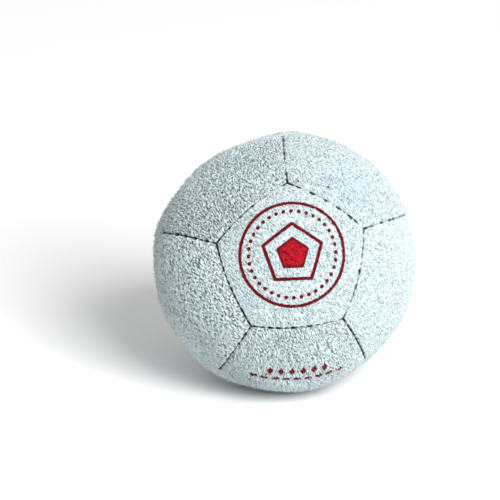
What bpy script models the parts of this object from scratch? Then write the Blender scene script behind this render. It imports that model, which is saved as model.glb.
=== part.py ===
"""A sewn suede ball: twelve pentagon panels, the thread in their thirty seams and a granule filling.

Lengths are in metres and +Z is up. The ball rests on the XY plane, with its flat underside round the origin.

Each panel is one sheet of suede. It was sewn to its neighbours inside out, so its edges fold in to the
middle of the ball as seam allowances, back to back with the neighbours' allowances. A running stitch goes
through holes in both allowances of a seam. The filling bulges up between the allowances, under each panel.
"""

from math import atan2, cos, pi, radians, sin, sqrt, tau

import bmesh
import bpy
from mathutils import Matrix, Vector

MM = 0.001

# The ball
BALL_DIAMETER = 86.0 * MM
PANEL_CROWN = 0.5 * MM
REST_FLATTENING = 2.0 * MM

# The pose, in degrees: how far the front panel faces up, faces right and is rolled anticlockwise
FRONT_PANEL_RISE = 21.1
FRONT_PANEL_TURN = 4.8
FRONT_PANEL_ROLL = 2.3

# The suede and its folds
SUEDE_THICKNESS = 1.2 * MM
FOLD_INNER_RADIUS = 0.2 * MM
SEAM_GAP = 0.3 * MM
FOLD_STEPS = 2

# The stitching
STITCHES_PER_SEAM = 5
THREAD_DIAMETER = 0.7 * MM
THREAD_HOLE_CLEARANCE = 0.3 * MM
THREAD_SEAT_CLEARANCE = 0.3 * MM
HOLE_TO_FOLD = 0.45 * MM
ALLOWANCE_BEYOND_HOLES = 1.65 * MM
THREAD_TAIL_SHARE = 0.35
NOTCH_STITCH_SHARE = 0.5

# The filling
FILLING_CLEARANCE = 0.4 * MM
PAD_ROOT = 1.2 * MM
PAD_DIVISIONS = 3
CORE_SUBDIVISIONS = 3

# How deep the underside's settling goes in whole, and where it has died out, as shares of the radius
SETTLE_WHOLE_SHARE = 0.8
SETTLE_END_SHARE = 0.3

# The dodecahedron that the panels follow
PANEL_SIDES = 5
SIDE_ANGLE = tau / PANEL_SIDES
NEIGHBOUR_TILT = atan2(2, 1)
FRONT_RING = ("upper_left", "left", "lower", "right", "upper_right")
BACK_RING = ("back_lower_right", "back_right", "back_upper", "back_left", "back_lower_left")

# Sizes that follow from those above
BALL_RADIUS = BALL_DIAMETER / 2
EDGE_RADIUS = BALL_RADIUS - PANEL_CROWN
CENTRE_HEIGHT = BALL_RADIUS - REST_FLATTENING
HALF_GAP = SEAM_GAP / 2
FOLD_RADIUS = FOLD_INNER_RADIUS + SUEDE_THICKNESS
FOLD_FOOT_RADIUS = EDGE_RADIUS - FOLD_RADIUS
CAP_INSET = HALF_GAP + FOLD_RADIUS
HOLE_WIDTH = THREAD_DIAMETER + 2 * THREAD_HOLE_CLEARANCE
STITCH_RADIUS = FOLD_FOOT_RADIUS - HOLE_TO_FOLD - HOLE_WIDTH / 2
ALLOWANCE_END_RADIUS = STITCH_RADIUS - HOLE_WIDTH / 2 - ALLOWANCE_BEYOND_HOLES
THREAD_TAIL = HOLE_WIDTH / 2 + ALLOWANCE_BEYOND_HOLES * THREAD_TAIL_SHARE
THREAD_RUN_OFFSET = HALF_GAP + SUEDE_THICKNESS + THREAD_SEAT_CLEARANCE + THREAD_DIAMETER / 2
PAD_INSET = THREAD_RUN_OFFSET + THREAD_DIAMETER / 2 + FILLING_CLEARANCE
PAD_DEPTH = SUEDE_THICKNESS + FILLING_CLEARANCE
CORE_RADIUS = ALLOWANCE_END_RADIUS - FILLING_CLEARANCE

# The flat pattern: a pentagon of radius 1, with each further row this share of it farther out
ROW_STEP_SHARE = 0.1
HOLE_INSET_SHARE = 0.02

# A heading in the ball that no two corners of a panel are equally near to
CORNER_CHOICE = Vector((1, 8, 3))


def direction(tilt, azimuth):
    """The unit vector at an angle from +Z, turned anticlockwise from +X."""
    return Vector((sin(tilt) * cos(azimuth), sin(tilt) * sin(azimuth), cos(tilt)))


def neighbour_azimuth(side):
    """Where a panel's neighbour across one side lies, with the panel's first corner at +Y."""
    return pi / 2 + (side + 1 / 2) * SIDE_ANGLE


def panel_directions():
    """The way each panel faces, from the middle of a ball whose front panel faces +Z."""
    facing = {"front": Vector((0, 0, 1))}
    for side, name in enumerate(FRONT_RING):
        facing[name] = direction(NEIGHBOUR_TILT, neighbour_azimuth(side))
    for side, name in enumerate(BACK_RING):
        facing[name] = -facing[FRONT_RING[side]]
    facing["back"] = -facing["front"]
    return facing


FACING = panel_directions()
NEIGHBOURS = [direction(NEIGHBOUR_TILT, neighbour_azimuth(side)) for side in range(PANEL_SIDES)]
SEAM_NORMALS = [(neighbour - Vector((0, 0, 1))).normalized() for neighbour in NEIGHBOURS]
CORNERS = [
    (Vector((0, 0, 1)) + NEIGHBOURS[side - 1] + NEIGHBOURS[side]).normalized()
    for side in range(PANEL_SIDES)
]
NEIGHBOUR_DOT = cos(NEIGHBOUR_TILT)
PANEL_HALF_WIDTH_SHARE = sin(NEIGHBOUR_TILT / 2)

BALL_POSE = (
    Matrix.Rotation(radians(FRONT_PANEL_TURN), 3, "Z")
    @ Matrix.Rotation(pi / 2 - radians(FRONT_PANEL_RISE), 3, "X")
    @ Matrix.Rotation(radians(FRONT_PANEL_ROLL), 3, "Z")
)
DOWN = BALL_POSE.transposed() @ Vector((0, 0, -1))


def panel_rotation(facing):
    """The turn that takes a panel facing +Z, with a corner at +Y, to its place on the ball."""
    around = [other for other in FACING.values() if other != facing and other.dot(facing) > 0]
    corners = [
        facing + first + second
        for first in around
        for second in around
        if first != second and first.dot(second) > 0
    ]
    corner = max(corners, key=CORNER_CHOICE.dot)
    up = (corner - facing * facing.dot(corner)).normalized()
    return Matrix((up.cross(facing), up, facing)).transposed()


def outer_radius(heading):
    """The ball's radius along a heading, from its panels' edges up to the crown of each."""
    nearest, second = sorted((heading.dot(facing) for facing in FACING.values()), reverse=True)[:2]
    edge_share = CAP_INSET / (EDGE_RADIUS * PANEL_HALF_WIDTH_SHARE)
    inward_share = (nearest - second) / (1 - NEIGHBOUR_DOT)
    cap_share = max(0, (inward_share - edge_share) / (1 - edge_share))
    return BALL_RADIUS - PANEL_CROWN * (1 - cap_share) ** 2


def settled(point):
    """A point of the ball once its underside has settled flat, measured from the ball's centre."""
    heading = point.normalized()
    radius = outer_radius(heading)
    lift = max(0, radius * heading.dot(DOWN) - CENTRE_HEIGHT)
    depth_share = (point.length / radius - SETTLE_END_SHARE) / (SETTLE_WHOLE_SHARE - SETTLE_END_SHARE)
    return point - DOWN * lift * min(1, max(0, depth_share))


def corner_point(corner, inset, radius):
    """The point at a distance inside both seam planes that meet at a corner of the panel."""
    before, after = SEAM_NORMALS[corner - 1], SEAM_NORMALS[corner % PANEL_SIDES]
    inward = (before + after) / (1 + before.dot(after)) * inset
    return CORNERS[corner % PANEL_SIDES] * sqrt(radius ** 2 - inward.length_squared) - inward


def row_point(side, share, inset, radius):
    """A point of the line that runs along one side of the panel, a distance inside its seam plane."""
    across = SEAM_NORMALS[side]
    start = corner_point(side, inset, radius) + across * inset
    end = corner_point(side + 1, inset, radius) + across * inset
    along = start.normalized().slerp(end.normalized(), share)
    return along * start.length - across * inset


def stitch_heading(side, stitch):
    """The unit vector in the seam plane of one side that points at one of its stitches."""
    share = (stitch + 1 / 2) / STITCHES_PER_SEAM
    point = row_point(side, share, HALF_GAP, FOLD_FOOT_RADIUS)
    return (point + SEAM_NORMALS[side] * HALF_GAP).normalized()


def flat_corner(corner):
    """A corner of the flat pattern's pentagon."""
    azimuth = pi / 2 + corner * SIDE_ANGLE
    return Vector((cos(azimuth), sin(azimuth), 0))


def flat_place(point):
    """The side of the flat pattern that a point belongs to, its share along it and its reach."""
    turned = (atan2(point.y, point.x) - pi / 2) % tau
    side = int(turned / SIDE_ANGLE) % PANEL_SIDES
    start, end = flat_corner(side), flat_corner(side + 1)
    area = start.cross(end).z
    towards_start = point.cross(end).z / area
    towards_end = start.cross(point).z / area
    reach = towards_start + towards_end
    share = towards_end / reach if reach else 0
    return side, min(1, max(0, share)), reach


def row_reach(row):
    """How far out in the flat pattern a row lies, counted from the edge of its pentagon."""
    return 1 + row * ROW_STEP_SHARE


def flat_row(reach):
    """The row of the flat pattern that a point lies on, zero or less within the pentagon."""
    return round((reach - 1) / ROW_STEP_SHARE)


def open_edges(bm):
    """The edges round the rim of an open sheet."""
    return [edge for edge in bm.edges if edge.is_boundary]


def extrude_row(bm, edges, reach_before, reach_after):
    """Add a row of faces to the flat pattern, out from some of its edges."""
    added = bmesh.ops.extrude_edge_only(bm, edges=edges)["geom"]
    vertices = [item for item in added if isinstance(item, bmesh.types.BMVert)]
    for vertex in vertices:
        vertex.co *= reach_after / reach_before
    return vertices, [item for item in added if isinstance(item, bmesh.types.BMFace)]


def flat_pentagon(bm, divisions):
    """Cut a flat pentagon of radius 1, divided evenly into small triangles."""
    bmesh.ops.create_circle(bm, cap_ends=True, cap_tris=True, segments=PANEL_SIDES, radius=1)
    bmesh.ops.subdivide_edges(bm, edges=bm.edges[:], cuts=divisions - 1, use_grid_fill=True)


def fold_row(step):
    """The distance inside the seam plane, and the radius, of one row of the fold."""
    angle = step / FOLD_STEPS * pi / 2
    return HALF_GAP + FOLD_RADIUS * (1 - sin(angle)), EDGE_RADIUS - FOLD_RADIUS * (1 - cos(angle))


def add_allowances(bm):
    """Add the notched seam allowances to the flat pattern, and cut their stitch holes.

    Gives the place of each corner of a hole: its side, its stitch, and which way it lies along the side
    and inward from the hole's middle.
    """
    reach_before = row_reach(FOLD_STEPS)
    reach_after = row_reach(FOLD_STEPS + 1)
    notch_share = NOTCH_STITCH_SHARE / STITCHES_PER_SEAM
    rim = open_edges(bm)
    hole_corners = {}
    for side in range(PANEL_SIDES):
        edges = [edge for edge in rim if flat_place((edge.verts[0].co + edge.verts[1].co) / 2)[0] == side]
        free_edge, faces = extrude_row(bm, edges, reach_before, reach_after)
        start, end = flat_corner(side) * reach_after, flat_corner(side + 1) * reach_after
        for vertex in free_edge:
            share = (vertex.co - start).length / (end - start).length
            vertex.co = start.lerp(end, notch_share + share * (1 - 2 * notch_share))
        bmesh.ops.inset_individual(bm, faces=faces, thickness=HOLE_INSET_SHARE)
        along, out = (end - start).normalized(), (start + end).normalized()
        for face in faces:
            stitch = int(flat_place(face.calc_center_median())[1] * STITCHES_PER_SEAM)
            corners = sorted(face.verts, key=lambda vertex: vertex.co.dot(out))
            for inward, pair in ((-1, corners[:2]), (1, corners[2:])):
                first, last = sorted(pair, key=lambda vertex: vertex.co.dot(along))
                hole_corners[first] = (side, stitch, -1, inward)
                hole_corners[last] = (side, stitch, 1, inward)
        bmesh.ops.delete(bm, geom=faces, context="FACES_ONLY")
    return hole_corners


def hole_corner_point(side, stitch, along, inward):
    """A corner of a square stitch hole in the folded allowance."""
    across = SEAM_NORMALS[side]
    out = stitch_heading(side, stitch)
    tangent = out.cross(across)
    middle = out * STITCH_RADIUS - across * HALF_GAP
    return middle + (tangent * along - out * inward) * HOLE_WIDTH / 2


def folded_point(place):
    """Where a point of the flat pattern comes to lie on the sewn ball."""
    side, share, reach = place
    row = flat_row(reach)
    if row > FOLD_STEPS:
        return row_point(side, share, HALF_GAP, ALLOWANCE_END_RADIUS)
    if row > 0:
        return row_point(side, share, *fold_row(row))
    edge = row_point(side, share, *fold_row(0)).normalized()
    heading = Vector((0, 0, 1)).slerp(edge, reach)
    return heading * outer_radius(heading)


def panel_sheet(name, rotation):
    """The outer face of one panel with its folded edges, as an open sheet."""
    bm = bmesh.new()
    flat_pentagon(bm, STITCHES_PER_SEAM)
    for row in range(FOLD_STEPS):
        extrude_row(bm, open_edges(bm), row_reach(row), row_reach(row + 1))
    hole_corners = add_allowances(bm)
    bmesh.ops.recalc_face_normals(bm, faces=bm.faces[:])
    for vertex in bm.verts:
        if vertex in hole_corners:
            folded = hole_corner_point(*hole_corners[vertex])
        else:
            folded = folded_point(flat_place(vertex.co))
        vertex.co = rotation.transposed() @ settled(rotation @ folded)
    return finished_mesh(bm, name)


def finished_mesh(bm, name):
    """Turn a bmesh into a smooth mesh, and free it."""
    mesh = bpy.data.meshes.new(name)
    bm.to_mesh(mesh)
    bm.free()
    mesh.shade_smooth()
    return mesh


def finish(name, colour, roughness):
    """A plain material."""
    material = bpy.data.materials.new(name)
    material.use_nodes = True
    shader = material.node_tree.nodes["Principled BSDF"]
    shader.inputs["Base Color"].default_value = (*colour, 1)
    shader.inputs["Roughness"].default_value = roughness
    shader.inputs["Metallic"].default_value = 0
    return material


def place(name, data, rotation, material, ball):
    """Put a piece on the ball, turned to its place."""
    data.materials.append(material)
    piece = bpy.data.objects.new(name, data)
    piece.rotation_euler = rotation.to_euler()
    piece.parent = ball
    PIECES.objects.link(piece)
    return piece


def add_panel(name, rotation, material, ball):
    """One suede panel: its open sheet, thickened towards the inside of the ball."""
    panel = place("panel_" + name, panel_sheet(name, rotation), rotation, material, ball)
    suede = panel.modifiers.new("suede_thickness", "SOLIDIFY")
    suede.thickness = SUEDE_THICKNESS
    suede.offset = -1
    suede.use_even_offset = True
    suede.use_quality_normals = True


def stitch_points(side, rotation):
    """The path of one seam's thread, in and out of the holes, with a short tail at each end."""
    across = SEAM_NORMALS[side] * THREAD_RUN_OFFSET
    headings = [stitch_heading(side, stitch) for stitch in range(STITCHES_PER_SEAM)]
    points = [headings[0] * (STITCH_RADIUS - THREAD_TAIL) - across]
    for heading in headings:
        points.append(heading * STITCH_RADIUS - across)
        across = -across
        points.append(heading * STITCH_RADIUS - across)
    points.append(headings[-1] * (STITCH_RADIUS - THREAD_TAIL) - across)
    return [settled(rotation @ point) for point in points]


def add_thread(name, points, material, ball):
    """One seam's running stitch, as a round thread along its path."""
    curve = bpy.data.curves.new(name, "CURVE")
    curve.dimensions = "3D"
    curve.bevel_depth = THREAD_DIAMETER / 2
    curve.bevel_resolution = 0
    curve.use_fill_caps = True
    spline = curve.splines.new("POLY")
    spline.points.add(len(points) - 1)
    for knot, point in zip(spline.points, points):
        knot.co = (*point, 1)
    place(name, curve, Matrix.Identity(3), material, ball)


def add_threads(material, ball):
    """A thread in each seam, named for the two panels that it joins."""
    for name, facing in FACING.items():
        rotation = panel_rotation(facing)
        for side in range(PANEL_SIDES):
            beyond = rotation @ NEIGHBOURS[side]
            other = max(FACING, key=lambda key: FACING[key].dot(beyond))
            if list(FACING).index(other) > list(FACING).index(name):
                add_thread(f"thread_{name}-{other}", stitch_points(side, rotation), material, ball)


def add_pad(bm, rotation):
    """The bulge of the filling under one panel, rooted in the core."""
    pad = bmesh.new()
    flat_pentagon(pad, PAD_DIVISIONS)
    extrude_row(pad, open_edges(pad), row_reach(0), row_reach(1))
    bmesh.ops.contextual_create(pad, geom=open_edges(pad))
    bmesh.ops.recalc_face_normals(pad, faces=pad.faces[:])
    for vertex in pad.verts:
        side, share, reach = flat_place(vertex.co)
        edge = row_point(side, share, PAD_INSET, EDGE_RADIUS - PAD_DEPTH)
        if flat_row(reach) > 0:
            vertex.co = row_point(side, share, PAD_INSET, CORE_RADIUS - PAD_ROOT)
        else:
            heading = Vector((0, 0, 1)).slerp(edge.normalized(), reach)
            vertex.co = heading * (outer_radius(heading) - PAD_DEPTH)
        vertex.co = settled(rotation @ vertex.co)
    mesh = finished_mesh(pad, "pad")
    bm.from_mesh(mesh)
    bpy.data.meshes.remove(mesh)


def add_filling(material, ball):
    """The granules that fill the ball, as one body: a core with a pad under each panel."""
    core = bmesh.new()
    bmesh.ops.create_icosphere(core, subdivisions=CORE_SUBDIVISIONS, radius=CORE_RADIUS)
    for vertex in core.verts:
        vertex.co = settled(vertex.co)
    filling = place("granule_filling", finished_mesh(core, "filling"), Matrix.Identity(3), material, ball)

    bm = bmesh.new()
    for facing in FACING.values():
        add_pad(bm, panel_rotation(facing))
    pads = bpy.data.objects.new("filling_pads", finished_mesh(bm, "pads"))
    pads.parent = ball
    pads.hide_render = True
    pads.display_type = "WIRE"
    CUTTERS.objects.link(pads)

    union = filling.modifiers.new("pads", "BOOLEAN")
    union.operation = "UNION"
    union.object = pads


for leftover in list(bpy.data.objects):
    bpy.data.objects.remove(leftover, do_unlink=True)

PIECES = bpy.data.collections.new("sewn_ball")
CUTTERS = bpy.data.collections.new("sewn_ball_cutters")
for collection in (PIECES, CUTTERS):
    bpy.context.scene.collection.children.link(collection)

BALL = bpy.data.objects.new("ball_centre", None)
BALL.location = (0, 0, CENTRE_HEIGHT)
BALL.rotation_euler = BALL_POSE.to_euler()
PIECES.objects.link(BALL)

SUEDE = finish("suede", (0.58, 0.68, 0.71), 0.95)
THREAD = finish("waxed_thread", (0.05, 0.07, 0.09), 0.6)
GRANULES = finish("plastic_granules", (0.75, 0.74, 0.70), 0.5)

for panel_name, panel_facing in FACING.items():
    add_panel(panel_name, panel_rotation(panel_facing), SUEDE, BALL)
add_threads(THREAD, BALL)
add_filling(GRANULES, BALL)
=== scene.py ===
"""Dresses the sewn suede ball: napped panels, waxed stitching, granules, a plain print and a pale studio.

Lengths are in metres and +Z is up, as in the frame. The ball's centre, radius and turn are measured on the
frame's own panels, so every piece lies where its solid does. A heading is a unit vector from the middle of
the canonical ball, whose front panel faces +Z. A panel's own pattern is a set of rings round its middle.
"""

import logging
from dataclasses import dataclass, field
from functools import partial
from itertools import product
from math import atan2, cos, pi, radians, sin, sqrt, tau
from typing import Any, Callable, Iterable

import bpy
import numpy as np
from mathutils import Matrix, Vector


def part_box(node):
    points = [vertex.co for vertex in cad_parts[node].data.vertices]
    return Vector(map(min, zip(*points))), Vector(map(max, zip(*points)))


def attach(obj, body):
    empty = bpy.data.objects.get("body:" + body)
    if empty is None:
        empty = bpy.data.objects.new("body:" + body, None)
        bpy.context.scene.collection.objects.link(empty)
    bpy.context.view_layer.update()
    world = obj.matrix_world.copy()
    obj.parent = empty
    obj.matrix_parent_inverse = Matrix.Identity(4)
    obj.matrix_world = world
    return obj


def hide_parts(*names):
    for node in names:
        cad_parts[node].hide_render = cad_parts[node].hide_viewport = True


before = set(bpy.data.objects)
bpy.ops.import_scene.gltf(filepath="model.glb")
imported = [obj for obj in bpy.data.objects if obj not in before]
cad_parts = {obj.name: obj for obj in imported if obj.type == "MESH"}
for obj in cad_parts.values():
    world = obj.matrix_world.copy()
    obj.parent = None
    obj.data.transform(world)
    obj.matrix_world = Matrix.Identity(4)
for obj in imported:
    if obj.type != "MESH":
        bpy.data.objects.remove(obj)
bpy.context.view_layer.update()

LOG = logging.getLogger("sewn_ball")

Array = np.ndarray
Span = tuple[float, float]
Place = tuple[float, float, float]
Piece = bpy.types.Object
Socket = bpy.types.NodeSocket
AddNode = Callable[..., Socket]

MM = 0.001
HUNDREDTH_MM = MM / 100

# The dodecahedron that the panels follow
SIDES = 5
FRONT_RING = ("upper_left", "left", "lower", "right", "upper_right")
BACK_RING = ("back_lower_right", "back_right", "back_upper", "back_left", "back_lower_left")
NEIGHBOUR_TILT = atan2(2, 1)
SEAM_SPAN = 2 * atan2(1, (3 + sqrt(5)) / 2)

# The way that settles which of its corners a panel's pattern starts from
CORNER_CHOICE = np.array((1, 8, 3))

# Two facings with a larger cosine than this between them are the same one
SAME_COSINE = 0.9

# The whole numbers that scramble a lattice cell into a random number
HASH_STEPS = np.array((73856093, 19349663, 83492791), np.int64)
HASH_SEED = 472882027
HASH_MIX = (668265263, 374761393, 1)
HASH_SHIFTS = (15, 13, 16)
HASH_MASK = 0xFFFFFF
SLOPE_SHIFTS = (0, 8, 16)
SLOPE_MASK = 0xFF

# What shader nodes call the ends of a range, and what makes a mix one of colours
FROM = ("From Min", "From Max")
TO = ("To Min", "To Max")
BLEND = {"data_type": "RGBA"}
BLENDED = 2

# Where the bake map holds a panel's outside and, in its corner, its inside: the middle and the size
OUTSIDE_ON_MAP = (0.5, 0.39)
INSIDE_ON_MAP = (0.07, 0.5)


def unit(vectors: Array) -> Array:
    """The same directions at length 1."""
    return vectors / np.linalg.norm(vectors, axis=-1, keepdims=True)


def direction(tilt: float, azimuth: float) -> Array:
    """The unit vector at an angle from +Z, turned anticlockwise from +X."""
    return np.array((sin(tilt) * cos(azimuth), sin(tilt) * sin(azimuth), cos(tilt)))


def ease(share: Array) -> Array:
    """Rise smoothly from 0 to 1."""
    held = np.clip(share, 0, 1)
    return held * held * (3 - 2 * held)


def bell(distance: Array, width: float) -> Array:
    """A bell curve: 1 at no distance, and nearly 0 at two widths."""
    return np.exp(-((distance / width) ** 2))


def spot(headings: Array, middle: Array, spread: float) -> Array:
    """A soft round spot on the ball, as a bell whose width is in degrees."""
    return bell(np.arccos(np.clip(headings @ middle, -1, 1)), radians(spread))


def circle(count: int, shift: float = 0) -> Array:
    """The corners of a regular polygon of radius 1, turned on by a share of a step."""
    angles = (np.arange(count) + shift) / count * tau
    return np.stack([np.cos(angles), np.sin(angles)], axis=1)


# The way each panel faces: the front, the five round it, and the ones opposite them
NEIGHBOUR_TURNS = [pi / 2 + (side + 1 / 2) * tau / SIDES for side in range(SIDES)]
NEIGHBOURS = np.array([direction(NEIGHBOUR_TILT, turn) for turn in NEIGHBOUR_TURNS])
FACINGS = {"front": np.array((0.0, 0.0, 1.0))} | dict(zip(FRONT_RING, NEIGHBOURS))
FACINGS |= {name: -FACINGS[opposite] for name, opposite in zip(BACK_RING, FRONT_RING)}
FACINGS["back"] = -FACINGS["front"]
NAMES = tuple(FACINGS)
ALL_FACINGS = np.array(list(FACINGS.values()))

# The seam planes and the corners of a panel that faces +Z
SEAM_NORMALS = unit(NEIGHBOURS - FACINGS["front"])
CORNERS = unit(FACINGS["front"] + NEIGHBOURS + np.roll(NEIGHBOURS, 1, axis=0))


def laid_flat(points: Array, middle: Array, radius: float) -> Array:
    """Roll a ball's cover out flat round one heading, keeping the distances from it.

    Args:
        points: places on the canonical ball, or near its cover.
        middle: the heading that the cover is rolled out round.
        radius: the cover's radius.

    Returns:
        The flat places, with their height above the cover along the heading.
    """
    lengths = np.linalg.norm(points, axis=1, keepdims=True)
    rises = points @ middle[:, None] / lengths
    sideways = points / lengths - rises * middle
    spread = np.linalg.norm(sideways, axis=1, keepdims=True)
    arc = np.arctan2(spread, rises) * radius / np.maximum(spread, 1e-9)
    return sideways * arc + (lengths - radius) * middle


def noise(points: Array, seed: int, even: bool = False) -> Array:
    """Smooth random numbers over space.

    Args:
        points: places, scaled so that a feature is about one unit wide.
        seed: picks one of many unlike patterns.
        even: whether the features are much alike in size, with no slow drift.

    Returns:
        A number for each point, from -1 to 1, or mostly within 0.6 of 0 where even.
    """
    cell = np.floor(points).astype(np.int64)
    offset = points - cell
    share = ease(offset)
    total = np.zeros(len(points))
    for corner in product((0, 1), repeat=3):
        key = (cell + np.array(corner)) @ HASH_STEPS + seed * HASH_SEED
        for shift, mix in zip(HASH_SHIFTS, HASH_MIX):
            key = (key ^ (key >> shift)) * mix
        value = (key & HASH_MASK) / HASH_MASK * 2 - 1
        if even:
            slopes = [(key >> shift & SLOPE_MASK) / SLOPE_MASK * 2 - 1 for shift in SLOPE_SHIFTS]
            value = (np.stack(slopes, axis=1) * (offset - np.array(corner))).sum(axis=1)
        total += np.where(corner, share, 1 - share).prod(axis=1) * value
    return total


def linear(colour: str) -> tuple[float, float, float, float]:
    """Turn an sRGB hex colour, such as #c4d3d6, into the linear colour that shaders use."""
    shares = [int(colour[place:place + 2], 16) / 255 for place in (1, 3, 5)]
    bright = [share / 12.92 if share <= 0.04045 else ((share + 0.055) / 1.055) ** 2.4 for share in shares]
    return (*bright, 1.0)


def add_node(
    tree: bpy.types.NodeTree,
    kind: str,
    settings: dict[str | int, Any] | None = None,
    links: dict[str | int, Socket] | None = None,
    output: str | int = 0,
) -> Socket | None:
    """Add a shader node with its settings and links.

    Args:
        tree: the node tree that gets the node.
        kind: Blender's name for the kind of node, after its ShaderNode.
        settings: values for the node's properties or, where it has none of that name, its inputs.
        links: the outputs that feed the node's inputs.
        output: which of the node's outputs is wanted.

    Returns:
        The wanted output, or None where the node has none.
    """
    node = tree.nodes.new(f"ShaderNode{kind}")
    for name, value in (settings or {}).items():
        if isinstance(name, str) and hasattr(node, name):
            setattr(node, name, value)
        else:
            node.inputs[name].default_value = value
    for name, source in (links or {}).items():
        tree.links.new(source, node.inputs[name])
    return node.outputs[output] if node.outputs else None


def cleared(owner: bpy.types.Material | bpy.types.World) -> AddNode:
    """Empty the nodes of a material or a world, and hand over what adds new ones to it."""
    owner.use_nodes = True
    owner.node_tree.nodes.clear()
    return partial(add_node, owner.node_tree)


def mesh_piece(
    name: str,
    points: Array,
    triangles: Array,
    marks: dict[str, Array] | None = None,
    flat: Array | None = None,
) -> Piece:
    """Make a smooth mesh object from arrays.

    Args:
        name: the name of the piece.
        points: the corners, in the row frame.
        triangles: three corner numbers for each face, anticlockwise from outside.
        marks: for each attribute that the materials read, a number or a vector for each corner.
        flat: the place of each corner, or of each face's three corners, on the map for baking.

    Returns:
        The object, linked into the scene.
    """
    mesh = bpy.data.meshes.new(name)
    mesh.vertices.add(len(points))
    mesh.vertices.foreach_set("co", points.astype(np.float32).ravel())
    mesh.loops.add(triangles.size)
    mesh.loops.foreach_set("vertex_index", triangles.astype(np.int32).ravel())
    mesh.polygons.add(len(triangles))
    mesh.polygons.foreach_set("loop_start", np.arange(0, triangles.size, 3, dtype=np.int32))
    mesh.update(calc_edges=True)
    if flat is not None:
        spread = flat if flat.ndim > 2 else flat[triangles]
        mesh.uv_layers.new(name="OFBake").data.foreach_set("uv", spread.astype(np.float32).ravel())
    for mark, values in (marks or {}).items():
        kind, slot = ("FLOAT_VECTOR", "vector") if values.ndim > 1 else ("FLOAT", "value")
        mesh.attributes.new(mark, kind, "POINT").data.foreach_set(slot, values.astype(np.float32).ravel())
    mesh.shade_smooth()
    piece = bpy.data.objects.new(name, mesh)
    bpy.context.scene.collection.objects.link(piece)
    return piece


def cell_places(count: int, shape: Array) -> Array:
    """Lay out copies of a small shape for baking, each in a cell of its own.

    Args:
        count: how many copies.
        shape: its corners round the cell's middle, in widths of a cell.

    Returns:
        The corners of every copy, one copy after another.
    """
    columns = int(np.ceil(sqrt(count)))
    cell = np.arange(count)
    middles = np.stack([cell % columns, cell // columns], axis=1) + 0.5
    return ((middles[:, None] + shape) / columns).reshape(-1, 2)


@dataclass(frozen=True)
class Swell:
    """A soft rise or dent of the filling under the cover, at a place in degrees in the row frame."""

    azimuth: float
    elevation: float
    rise_mm: float
    spread: float

    def at(self, headings: Array) -> Array:
        """How far it lifts the cover along headings of the row frame."""
        middle = direction(radians(90 - self.elevation), radians(self.azimuth))
        return self.rise_mm * MM * spot(headings, middle, self.spread)


@dataclass(frozen=True)
class CornerPull:
    """How far hand sewing drew the corner of three panels off its true place, in the row frame."""

    panels: tuple[str, str, str]
    shift_mm: Place
    spread: float = 20

    def at(self, headings: Array) -> Array:
        """How far it draws the cover along, at headings of the canonical ball."""
        corner = unit(sum(FACINGS[name] for name in self.panels))
        return np.outer(spot(headings, corner, self.spread), self.shift_mm) * MM


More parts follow.
